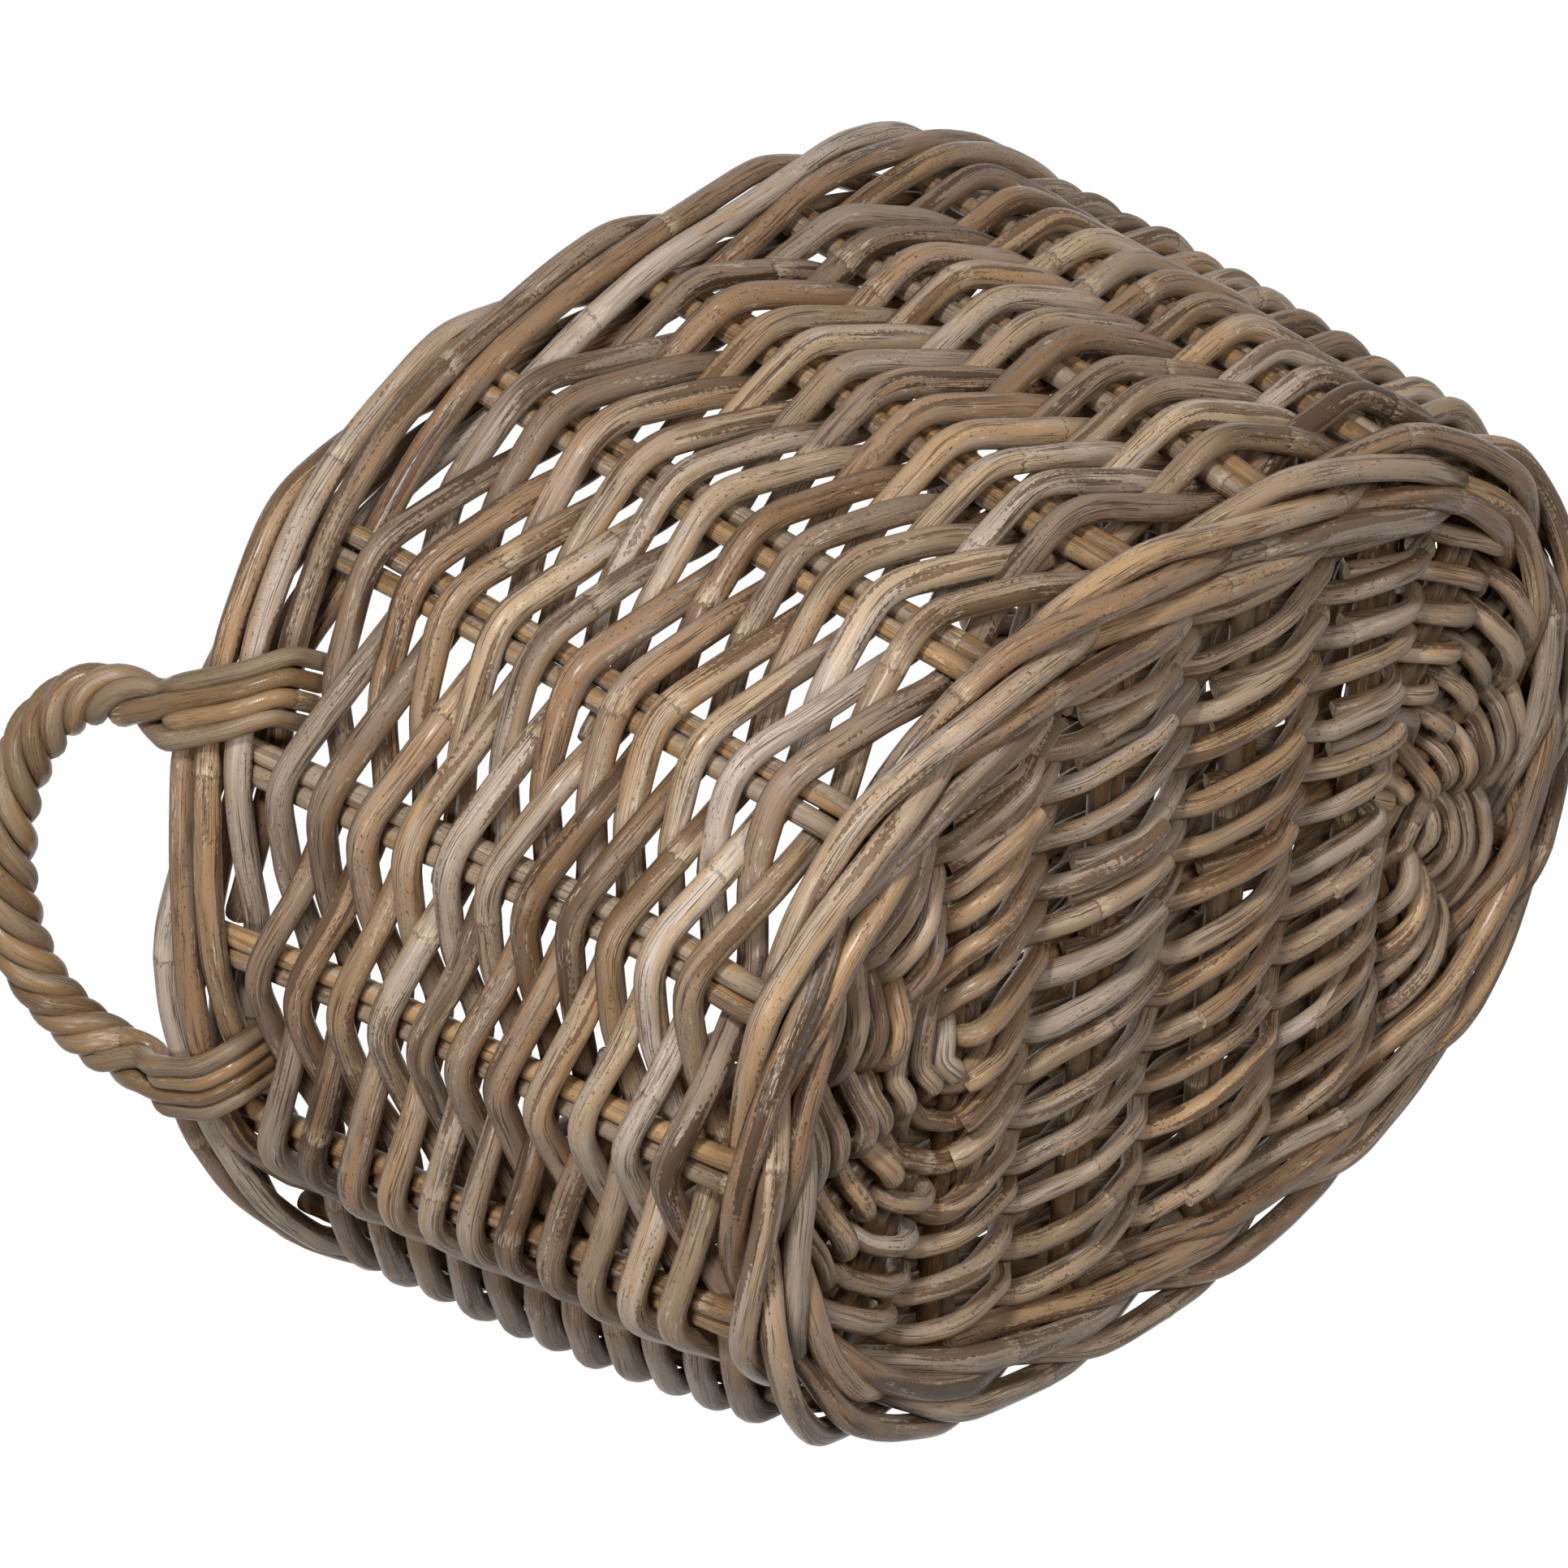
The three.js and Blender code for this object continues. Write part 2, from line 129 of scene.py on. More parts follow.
def bend_frame(stake, part):
    """Place part of the way round the bend from the base (0) to the wall (1)."""
    foot, out, _ = wall_frame(stake, 0.0)
    turn = math.pi / 2 * part
    up = np.array([0.0, 0.0, 1.0])
    bend_out = out * math.sin(turn) - up * math.cos(turn)
    along = out * math.cos(turn) + up * math.sin(turn)
    point = foot - out * BEND_RADIUS + up * BEND_RADIUS + bend_out * BEND_RADIUS
    return point, bend_out, along


def spine_line(stake):
    foot = wall_frame(stake, 0.0)[0]
    hub = foot.copy()
    hub[..., 0] = np.clip(foot[..., 0], -SPINE, SPINE)
    hub[..., 1] = 0
    length = np.linalg.norm(foot - hub, axis=-1)
    return hub, (foot - hub) / length[..., None], length


def base_frame(stake, distance):
    """Place on the base at a distance from the spine."""
    hub, along, length = spine_line(stake)
    point = hub + along * np.asarray(distance)[..., None]
    from_bend = length - BEND_RADIUS - distance
    point[..., 2] += BASE_RISE * np.clip(from_bend / BASE_SLOPE, 0, 1)
    return point, np.broadcast_to([0.0, 0.0, -1.0], point.shape), along


def moved(place, outward, onward):
    """Point beside a place, outward from it and onward along it."""
    point, out, along = place
    return point + out * outward + along * onward


def smooth_step(value):
    value = np.clip(value, 0, 1)
    return value * value * (3 - 2 * value)


def settled(points):
    """The slight unevenness of a hand-woven basket, the same for all its rods."""
    points = np.array(points, float)
    x, y, z = points.T.copy()
    up = smooth_step((z - 0.02) / 0.06)
    turn = np.arctan2(y * 1.3, x)
    points[:, 2] += up * 0.0016 * (np.sin(3 * turn + 1.0) + np.sin(5 * turn - 2.0 + 9 * z))
    lean = 0.0022 * np.sin(4 * turn + 12 * z) + 0.0014 * np.sin(9 * turn + 2.0 - 17 * z)
    points[:, 0] += up * lean * -np.sin(turn) + 0.0010 * np.sin(31 * y + 1.7) * (1 - up)
    points[:, 1] += up * lean * np.cos(turn) + 0.0010 * np.sin(27 * x + 0.6) * (1 - up)
    # One end of the border stands a little higher and further out
    lift = END_LIFT * np.clip((z - 0.15) / 0.11, 0, 1) ** 2
    lift = lift * smooth_step((-x - LIFT_START) / LIFT_EASE) * smooth_step((0.12 - y) / 0.10)
    points[:, 0] -= lift
    points[:, 2] += lift
    return points


# Rods

def resample(points, step):
    lengths = np.concatenate([[0], np.cumsum(np.linalg.norm(np.diff(points, axis=0), axis=1))])
    count = max(int(round(lengths[-1] / step)), 3)
    places = np.linspace(0, lengths[-1], count + 1)
    return np.stack([np.interp(places, lengths, points[:, k]) for k in range(3)], -1)


def rounded(points, bend):
    """Line through the points with its corners rounded over about the bend length."""
    fine = resample(np.asarray(points, float), FINE_STEP)
    spread = bend / FINE_STEP
    reach = int(3 * spread)
    kernel = np.exp(-0.5 * (np.arange(-reach, reach + 1) / spread) ** 2)
    kernel /= kernel.sum()
    before = 2 * fine[0] - fine[reach:0:-1]
    after = 2 * fine[-1] - fine[-2:-reach - 2:-1]
    padded = np.concatenate([before, fine, after])
    smooth = np.stack([np.convolve(padded[:, k], kernel, mode="valid") for k in range(3)], -1)
    return resample(smooth, PATH_STEP)


def wander(count, wavelength, rng):
    """Smooth random curve of about unit height along a path."""
    knots = int(count * PATH_STEP / wavelength) + 4
    values = rng.normal(size=knots)
    place = np.linspace(0, knots - 3.001, count)
    i = place.astype(int)
    t = place - i
    a, b, c = values[i], values[i + 1], values[i + 2]
    return 0.5 * (a * (1 - t) ** 2 + b * (1 + 2 * t - 2 * t * t) + c * t * t)


def rod(points, diameter, rng, bend=0.006, sway=0.0008, internode=0.26, thin_ends=0.0, painted_shade_low=0.0):
    """A round rod along the points, with the swellings of its nodes and its own irregularities."""
    path = rounded(settled(points), bend)
    count = len(path)
    for k in range(3):
        path[:, k] += sway * wander(count, SWAY_LENGTH, rng)
    along = np.arange(count) * PATH_STEP
    spans = np.cumsum(rng.uniform(0.75, 1.25, size=int(along[-1] / internode) + 4) * internode)
    before = -rng.uniform(0.05, 1) * internode
    places = np.sort(np.concatenate([[before], spans - rng.uniform(0.1, 0.9) * internode]))
    nodes = np.interp(along, places, np.arange(len(places)))
    from_node = np.min(np.abs(along[:, None] - places[None, :]), axis=1)
    radius = diameter / 2 * (1 + SIZE_SWAY * wander(count, SIZE_LENGTH, rng))
    radius *= 1 + NODE_BULGE * np.exp(-(from_node / NODE_REACH) ** 2)
    from_end = np.minimum(along, along[-1] - along)
    radius *= 1 - thin_ends * np.clip((THIN_LENGTH - from_end) / THIN_EASE, 0, 1)
    radius[[0, -1]] *= END_SIZE
    # Painted shade: the rod is painted darker by the given share where it runs low, in the base
    painted_shade = painted_shade_low * smooth_step((SHADE_TOP - path[:, 2]) / SHADE_EASE)
    return {"points": path, "size": radius, "along": along, "node": nodes, "painted_shade": painted_shade,
            "seed": rng.uniform(0, 1)}


def line_mesh(name, rods):
    """The paths of the rods as one mesh of edges, with what each point of them knows."""
    counts = [len(r["points"]) for r in rods]
    points = np.concatenate([r["points"] for r in rods])
    starts = np.cumsum([0] + counts)[:-1]
    edges = np.concatenate([np.stack([s + np.arange(n - 1), s + np.arange(1, n)], -1)
                            for s, n in zip(starts, counts)])
    mesh = bpy.data.meshes.new(name)
    mesh.vertices.add(len(points))
    mesh.vertices.foreach_set("co", points.astype(np.float32).ravel())
    mesh.edges.add(len(edges))
    mesh.edges.foreach_set("vertices", edges.astype(np.int32).ravel())
    for key in ("size", "along", "node", "painted_shade"):
        layer = mesh.attributes.new(key, "FLOAT", "POINT")
        layer.data.foreach_set("value", np.concatenate([r[key] for r in rods]).astype(np.float32))
    seeds = np.concatenate([np.full(n, r["seed"]) for r, n in zip(rods, counts)])
    layer = mesh.attributes.new("seed", "FLOAT", "POINT")
    layer.data.foreach_set("value", seeds.astype(np.float32))
    mesh.update()
    return mesh


# Node trees

class Nodes:
    """Shorthand for the nodes and links of one tree."""

    def __init__(self, tree):
        self.tree = tree

    def add(self, kind, values=None, **settings):
        node = self.tree.nodes.new(kind)
        for key, value in settings.items():
            setattr(node, key, value)
        for key, value in (values or {}).items():
            socket = node.inputs[key]
            if isinstance(value, bpy.types.NodeSocket):
                self.tree.links.new(value, socket)
            else:
                socket.default_value = value
        return node

    def math(self, operation, a, b=0.0):
        return self.add("ShaderNodeMath", {0: a, 1: b}, operation=operation).outputs[0]

    def inverse(self, value):
        return self.math("SUBTRACT", 1.0, value)

    def centred(self, value):
        return self.math("SUBTRACT", value, 0.5)

    def vector(self, operation, a, b):
        return self.add("ShaderNodeVectorMath", {0: a, 1: b}, operation=operation).outputs[0]

    def scaled(self, vector, size):
        node = self.add("ShaderNodeVectorMath", {0: vector, "Scale": size}, operation="SCALE")
        return node.outputs[0]

    def band(self, value, low, high):
        """0 below low, 1 above high, smooth between."""
        node = self.add("ShaderNodeMapRange", {0: value, 1: low, 2: high, 3: 0.0, 4: 1.0},
                        interpolation_type="SMOOTHSTEP")
        return node.outputs[0]

    def span(self, value, low, high, start, end):
        node = self.add("ShaderNodeMapRange", {0: value, 1: low, 2: high, 3: start, 4: end})
        return node.outputs[0]

    def noise(self, vector, scale, detail=2.0, roughness=0.5):
        node = self.add("ShaderNodeTexNoise", {"Vector": vector, "Scale": scale, "Detail": detail,
                                               "Roughness": roughness})
        return node.outputs[0]

    def mix(self, factor, a, b, mode="MIX"):
        node = self.add("ShaderNodeMix", {0: factor, 6: a, 7: b},
                        data_type="RGBA", blend_type=mode)
        return node.outputs[2]


def rod_tree():
    """Makes round rods along lines of edges, with lumpy skin and closed ends."""
    tree = bpy.data.node_groups.new("Rods along lines", "GeometryNodeTree")
    tree.is_modifier = True
    face = tree.interface
    face.new_socket("Lines", in_out="INPUT", socket_type="NodeSocketGeometry")
    for name, kind, value in (("Sides", "NodeSocketInt", ROD_SIDES),
                              ("Lump Height", "NodeSocketFloat", LUMP_HEIGHT),
                              ("Lump Size", "NodeSocketFloat", LUMP_SIZE),
                              ("Bark", "NodeSocketMaterial", None),
                              ("Cut End", "NodeSocketMaterial", None)):
        socket = face.new_socket(name, in_out="INPUT", socket_type=kind)
        if value is not None:
            socket.default_value = value
    face.new_socket("Rods", in_out="OUTPUT", socket_type="NodeSocketGeometry")
    n = Nodes(tree)
    start = n.add("NodeGroupInput").outputs

    def named(name, kind="FLOAT"):
        return n.add("GeometryNodeInputNamedAttribute", {"Name": name}, data_type=kind).outputs[0]

    def stored(geometry, name, value):
        return n.add("GeometryNodeStoreNamedAttribute",
                     {"Geometry": geometry, "Name": name, "Value": value},
                     data_type="FLOAT_VECTOR", domain="POINT").outputs[0]

    lines = n.add("GeometryNodeMeshToCurve", {"Mesh": start["Lines"]}).outputs[0]
    ring = n.add("GeometryNodeCurvePrimitiveCircle", {"Resolution": start["Sides"], "Radius": 1.0})
    place = n.add("GeometryNodeInputPosition").outputs[0]
    ring = stored(ring.outputs[0], "ring", place)
    skin = n.add("GeometryNodeCurveToMesh", {"Curve": lines, "Profile Curve": ring,
                                             "Scale": named("size"), "Fill Caps": True}).outputs[0]
    # Grain is the place in mm round and along the rod, moved so that no two rods look alike
    across = n.scaled(named("ring", "FLOAT_VECTOR"), n.math("MULTIPLY", named("size"), MILLIMETRES))
    seed = n.math("MULTIPLY", named("seed"), SEED_SPREAD)
    length = n.math("MULTIPLY", named("along"), MILLIMETRES)
    apart = n.math("MULTIPLY", seed, 0.37)
    shift = n.add("ShaderNodeCombineXYZ", {"X": seed, "Y": apart, "Z": length}).outputs[0]
    grain = n.vector("ADD", across, shift)
    skin = stored(skin, "grain", grain)
    lump = n.noise(n.vector("MULTIPLY", grain, (1.0, 1.0, 0.5)), start["Lump Size"], 2.0)
    lump = n.math("MULTIPLY", n.centred(lump), start["Lump Height"])
    push = n.scaled(n.add("GeometryNodeInputNormal").outputs[0], lump)
    skin = n.add("GeometryNodeSetPosition", {"Geometry": skin, "Offset": push}).outputs[0]
    # The caps are the only faces with more than four corners
    corners = n.add("GeometryNodeInputMeshFaceNeighbors").outputs["Vertex Count"]
    cut = n.add("FunctionNodeCompare", {2: corners, 3: 4}, data_type="INT",
                operation="GREATER_THAN").outputs[0]
    round_part = n.add("FunctionNodeBooleanMath", {0: cut}, operation="NOT").outputs[0]
    skin = n.add("GeometryNodeSetShadeSmooth",
                 {"Geometry": skin, "Shade Smooth": round_part}).outputs[0]
    skin = n.add("GeometryNodeRealizeInstances", {"Geometry": skin}).outputs[0]
    for name in ("ring", "size", "along"):
        skin = n.add("GeometryNodeRemoveAttribute", {"Geometry": skin, "Name": name}).outputs[0]
    skin = n.add("GeometryNodeSetMaterial",
                 {"Geometry": skin, "Material": start["Bark"]}).outputs[0]
    skin = n.add("GeometryNodeSetMaterial", {"Geometry": skin, "Selection": cut,
                                             "Material": start["Cut End"]}).outputs[0]
    n.add("NodeGroupOutput", {"Rods": skin})
    return tree


ROD_TREE = rod_tree()


def make_piece(node, rods, slot, floor_cut=False):
    """One piece of rods that stands for a CAD node."""
    mesh = line_mesh(node + "_lines", rods)
    piece = bpy.data.objects.new(node + "_rods", mesh)
    bpy.context.scene.collection.objects.link(piece)
    modifier = piece.modifiers.new("Rods", "NODES")
    modifier.node_group = ROD_TREE
    sockets = [item for item in ROD_TREE.interface.items_tree if item.in_out == "INPUT"]
    inputs = {socket.name: socket.identifier for socket in sockets}
    modifier[inputs["Bark"]] = BARKS[slot]
    modifier[inputs["Cut End"]] = PITH
    bpy.context.view_layer.update()
    made = piece.evaluated_get(bpy.context.evaluated_depsgraph_get())
    solid = bpy.data.meshes.new_from_object(made)
    piece.modifiers.remove(modifier)
    piece.data = solid
    bpy.data.meshes.remove(mesh)
    solid.name = node + "_rods"
    if floor_cut:
        flatten_at_floor(solid)
    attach(piece, "root")
    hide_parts(node)


def flatten_at_floor(mesh):
    """Presses what reaches below the floor flat against it, as worn feet are."""
    places = np.empty(len(mesh.vertices) * 3, np.float32)
    mesh.vertices.foreach_get("co", places)
    places = places.reshape(-1, 3)
    places[:, 2] = np.maximum(places[:, 2], 0.0)
    mesh.vertices.foreach_set("co", places.ravel())
    mesh.update()


# Materials

def srgb(red, green, blue):
    def linear(value):
        value /= 255
        return value / 12.92 if value <= 0.04045 else ((value + 0.055) / 1.055) ** 2.4
    return (linear(red), linear(green), linear(blue), 1.0)


def bark_group():
    """Masks of weathered rattan bark, from places in mm round and along a rod."""
    tree = bpy.data.node_groups.new("Bark marks", "ShaderNodeTree")
    for name, kind in (("Grain", "NodeSocketVector"), ("Node", "NodeSocketFloat"),
                       ("Seed", "NodeSocketFloat")):
        tree.interface.new_socket(name, in_out="INPUT", socket_type=kind)
    n = Nodes(tree)
    given = n.add("NodeGroupInput").outputs
    grain = given["Grain"]

    def marks(around, length, detail=2.0, roughness=0.5):
        """Noise whose spots get smaller round and along the rod as the two numbers grow."""
        place = n.vector("MULTIPLY", grain, (around, around, length))
        return n.noise(place, 1.0, detail, roughness)

    def only(mask, area):
        return n.math("MULTIPLY", mask, area)

    streaks = marks(0.95, 0.026, 4.0, 0.6)
    fibres = marks(3.0, 0.05, 2.0, 0.6)
    line = n.math("ABSOLUTE", n.centred(marks(0.85, 0.014, 2.0)))
    cracks = only(n.inverse(n.band(line, 0.012, 0.036)), n.band(marks(0.22, 0.020), 0.46, 0.56))
    pits = only(n.band(marks(1.3, 0.50, 3.0, 0.6), 0.615, 0.66),
                n.band(marks(0.14, 0.022), 0.44, 0.56))
    scuffs = only(n.band(marks(1.4, 0.22, 4.0, 0.7), 0.53, 0.58),
                  n.band(marks(0.24, 0.036), 0.56, 0.64))
    along = n.add("ShaderNodeSeparateXYZ", {"Vector": grain}).outputs["Z"]
    saw = n.math("ADD", n.math("MULTIPLY", along, 0.26), n.math("MULTIPLY", marks(0.5, 0.2), 2.5))
    teeth = n.math("PINGPONG", saw, 0.5)
    side = n.math("ADD", marks(0.20, 0.012), n.math("MULTIPLY", teeth, 0.08))
    side = n.math("ADD", side, n.math("MULTIPLY", marks(1.4, 0.9), 0.06))
    patches = only(n.band(side, 0.575, 0.585), n.band(marks(0.05, 0.005, 1.0), 0.49, 0.53))
    stretched = n.vector("MULTIPLY", grain, (0.20, 0.20, 0.45))
    bands = n.add("ShaderNodeTexWave", {"Vector": stretched, "Scale": 0.6, "Distortion": 3.5,
                                        "Detail": 2.0, "Detail Scale": 1.4},
                  bands_direction="Z").outputs[1]
    rings = only(n.math("POWER", bands, 6.0), n.band(marks(0.10, 0.014), 0.56, 0.68))
    ragged = n.math("MULTIPLY", n.centred(marks(0.7, 0.25, 4.0)), 0.026)
    node_at = n.math("ADD", given["Node"], ragged)
    from_node = n.centred(n.math("FRACT", n.math("ADD", node_at, 0.5)))
    distance = n.math("ABSOLUTE", from_node)
    broken = n.band(marks(0.5, 0.3), 0.36, 0.52)
    node_ring = only(n.inverse(n.band(distance, 0.001, 0.0035)), broken)
    collar = only(n.math("GREATER_THAN", from_node, 0.0), n.inverse(n.band(distance, 0.008, 0.040)))
    collar = only(collar, n.band(marks(1.2, 0.16, 3.0, 0.6), 0.42, 0.58))
    # Every rod has its own tone and its own share of bark, and every internode its own tone
    own = n.math("MULTIPLY", given["Seed"], 731.0)
    cell = n.add("ShaderNodeCombineXYZ", {"X": n.math("FLOOR", node_at), "Y": own}).outputs[0]
    tone = n.add("ShaderNodeTexWhiteNoise", {"Vector": cell}, noise_dimensions="3D")
    cell = n.add("ShaderNodeCombineXYZ", {"Y": own}).outputs[0]
    chance = n.add("ShaderNodeTexWhiteNoise", {"Vector": cell}, noise_dimensions="3D")
    of_rod = n.add("ShaderNodeSeparateColor", {"Color": chance.outputs["Color"]}).outputs
    # Smooth tan bark has worn off to grey fibrous wood, with a flaky edge between the two
    flaky = n.math("MULTIPLY", n.centred(marks(1.5, 0.32, 4.0, 0.65)), 0.16)
    weather = n.math("ADD", n.math("ADD", marks(0.12, 0.010, 3.0, 0.6), flaky),
                     n.span(of_rod[1], 0.0, 1.0, -0.13, 0.13))
    masks = {"Streaks": streaks, "Fibres": fibres, "Cracks": cracks, "Pits": pits,
             "Scuffs": scuffs, "Patches": patches, "Rings": rings, "Node Ring": node_ring,
             "Node Collar": collar, "Tone": tone.outputs["Value"], "Rod Tone": of_rod[0],
             "Warmth": n.band(weather, 0.455, 0.515),
             "Stains": n.band(marks(0.22, 0.030, 3.0, 0.6), 0.54, 0.72)}
    for name in masks:
        tree.interface.new_socket(name, in_out="OUTPUT", socket_type="NodeSocketFloat")
    n.add("NodeGroupOutput", masks)
    return tree


BARK = bark_group()


def bark_material(name, grey, tan, dark, shade=1.0, marks=1.0, gloss=0.0):
    """Bark of a rod, between grey and tan, with the marks of the bark group."""
    grey, tan, dark = srgb(*grey), srgb(*tan), srgb(*dark)
    material = bpy.data.materials.new(name)
    material.use_nodes = True
    tree = material.node_tree
    n = Nodes(tree)
    shader = tree.nodes["Principled BSDF"]

    def named(key, output):
        node = n.add("ShaderNodeAttribute")
        node.attribute_name = key
        return node.outputs[output]

    given = {"Grain": named("grain", "Vector"), "Node": named("node", "Fac"),
             "Seed": named("seed", "Fac")}
    m = n.add("ShaderNodeGroup", given, node_tree=BARK).outputs
    worn = n.inverse(m["Warmth"])

    def waver(mask, smooth, rough):
        """Factor about 1 that follows a mask, weakly on smooth bark and strongly on worn bark."""
        share = n.span(worn, 0.0, 1.0, smooth, rough)
        return n.math("ADD", 1.0, n.math("MULTIPLY", n.centred(m[mask]), share))

    colour = n.mix(m["Warmth"], grey, tan)
    level = n.math("MULTIPLY", n.span(m["Tone"], 0.0, 1.0, 0.90, 1.06),
                   n.span(m["Rod Tone"], 0.0, 1.0, 0.76 * shade, 1.14 * shade))
    level = n.math("MULTIPLY", level, waver("Streaks", 0.40 * marks, 0.66 * marks))
    level = n.math("MULTIPLY", level, waver("Fibres", 0.22 * marks, 0.70 * marks))
    # Painted shade: the attribute read here darkens the colour, down to 0.42 of it
    level = n.math("MULTIPLY", level, n.span(named("painted_shade", "Fac"), 0.0, 1.0, 1.0, 0.42))
    # What is darker is browner too
    warm_level = n.add("ShaderNodeCombineColor", {0: level, 1: n.math("POWER", level, 1.10),
                                                  2: n.math("POWER", level, 1.28)}).outputs[0]
    colour = n.mix(1.0, colour, warm_level, "MULTIPLY")
    for mask, share, stain in (("Stains", 0.50, dark),
                               ("Patches", 0.80, dark),
                               ("Scuffs", 0.40, srgb(206, 194, 174)),
                               ("Cracks", 0.76, srgb(52, 38, 27)),
                               ("Pits", 0.78, srgb(48, 36, 27)),
                               ("Rings", 0.24, srgb(84, 66, 50)),
                               ("Node Collar", 0.45, srgb(202, 184, 154)),
                               ("Node Ring", 0.50, srgb(66, 50, 37))):
        amount = share if mask.startswith("Node") else share * marks
        colour = n.mix(n.math("MULTIPLY", m[mask], amount), colour, stain)
    tree.links.new(colour, shader.inputs["Base Color"])
    rough = n.math("ADD", n.span(worn, 0.0, 1.0, 0.25 - gloss, 0.44 - gloss),
                   n.span(m["Fibres"], 0.3, 0.7, 0.10, -0.05))
    rough = n.math("ADD", rough, n.math("MULTIPLY", m["Scuffs"], 0.12))
    tree.links.new(rough, shader.inputs["Roughness"])
    height = n.math("ADD", n.math("MULTIPLY", m["Streaks"], n.span(worn, 0.0, 1.0, 0.12, 0.45)),
                    n.math("MULTIPLY", m["Fibres"], n.span(worn, 0.0, 1.0, 0.04, 0.22)))
    for mask, share in (("Warmth", 0.22), ("Cracks", -0.50), ("Pits", -0.45), ("Patches", 0.25),
                        ("Rings", -0.12), ("Node Ring", -0.60), ("Node Collar", 0.20)):
        height = n.math("ADD", height, n.math("MULTIPLY", m[mask], share))
    bump = n.add("ShaderNodeBump", {"Height": height, "Strength": 0.7, "Distance": 0.0006})
    tree.links.new(bump.outputs[0], shader.inputs["Normal"])
    shader.inputs["Specular IOR Level"].default_value = 0.22
    return material


def pith_material():
    """Pale cut end of a rod, with the open pores of the cane."""
    material = bpy.data.materials.new("Cut end")
    material.use_nodes = True
    tree = material.node_tree
    n = Nodes(tree)
    shader = tree.nodes["Principled BSDF"]
    grain = n.add("ShaderNodeAttribute")
    grain.attribute_name = "grain"
    across = n.vector("MULTIPLY", grain.outputs["Vector"], (1.0, 1.0, 0.2))
    pores = n.add("ShaderNodeTexVoronoi", {"Vector": across, "Scale": 2.2}).outputs["Distance"]
    dirt = n.noise(across, 0.5, 3.0)
    colour = n.mix(n.band(dirt, 0.35, 0.7), srgb(196, 178, 150), srgb(134, 112, 88))
    colour = n.mix(n.inverse(n.band(pores, 0.10, 0.28)), colour, srgb(88, 68, 50))
    tree.links.new(colour, shader.inputs["Base Color"])
    tree.links.new(n.span(dirt, 0.3, 0.7, 0.75, 0.9), shader.inputs["Roughness"])
    bump = n.add("ShaderNodeBump", {"Height": pores, "Strength": 0.5, "Distance": 0.0004})
    tree.links.new(bump.outputs[0], shader.inputs["Normal"])
    return material


# For each slot the worn grey, the smooth tan, the stains, the level and how strong the marks are
BARKS = {
    "weaver_grey": bark_material("Grey bark", (153, 138, 123), (150, 127, 102), (86, 64, 44)),
    "weaver_brown": bark_material("Brown bark", (142, 122, 103), (146, 116, 88), (74, 53, 35),
                                  0.98),
    "weaver_pale": bark_material("Pale bark", (166, 151, 136), (162, 138, 110), (94, 72, 50),
                                 1.02),
    "weaver_dark": bark_material("Dark bark", (129, 110, 93), (134, 105, 78), (62, 44, 29),
                                 0.92, 1.1),
    "weaver_tan": bark_material("Tan bark", (153, 133, 111), (157, 127, 95), (86, 61, 39)),
    "stake": bark_material("Stake bark", (158, 141, 122), (161, 128, 92), (88, 64, 42),
                           1.0, 0.7),
    "handle": bark_material("Handle bark", (146, 128, 106), (146, 117, 85), (92, 70, 51),
                            0.72, 0.5, gloss=0.03),
}
PITH = pith_material()
WEAVER_SLOTS = ["weaver_grey", "weaver_brown", "weaver_pale", "weaver_dark", "weaver_tan"]


# Stakes and base sticks

UNEVEN_END = 0.004


def stake_stations(stake):
    """Points and out directions of a stake from its top down to the edge of the base."""
    heights = (STAKE_TOP, 0.75 * STAKE_TOP, 0.5 * STAKE_TOP, 0.25 * STAKE_TOP, BEND_RADIUS)
    reach = spine_line(stake)[2] - BEND_RADIUS
    places = [wall_frame(stake, height) for height in heights]
    places += [bend_frame(stake, part) for part in (0.75, 0.5, 0.25)]
    places += [base_frame(stake, reach - inward) for inward in (0.0, BASE_SLOPE)]
    return [place[0] for place in places], [place[1] for place in places]


def pair_of_rods(stations, trims, rng):
    """Two rods side by side along the stations, each cut short by its own trims."""
    points, outs = np.array(stations[0]), np.array(stations[1])
    toward = np.gradient(points, axis=0)
    toward /= np.linalg.norm(toward, axis=1, keepdims=True)
    side = np.cross(toward, outs)
    side /= np.linalg.norm(side, axis=1, keepdims=True)
    rods = []
    for hand, trim in zip((-1, 1), trims):
        line = resample(points + side * hand * (PAIR_HALF + CONTACT_GAP), LINE_STEP)
        keep = slice(int(trim[0] / LINE_STEP), len(line) - int(trim[1] / LINE_STEP))
        size = STAKE_ROD * rng.uniform(0.94, 1.02)
        # The stakes get full painted shade where they run low through the base
        rods.append(rod(line[keep], size, rng, bend=0.003, sway=0.0003, internode=0.16,
                        painted_shade_low=1.0))
    return rods


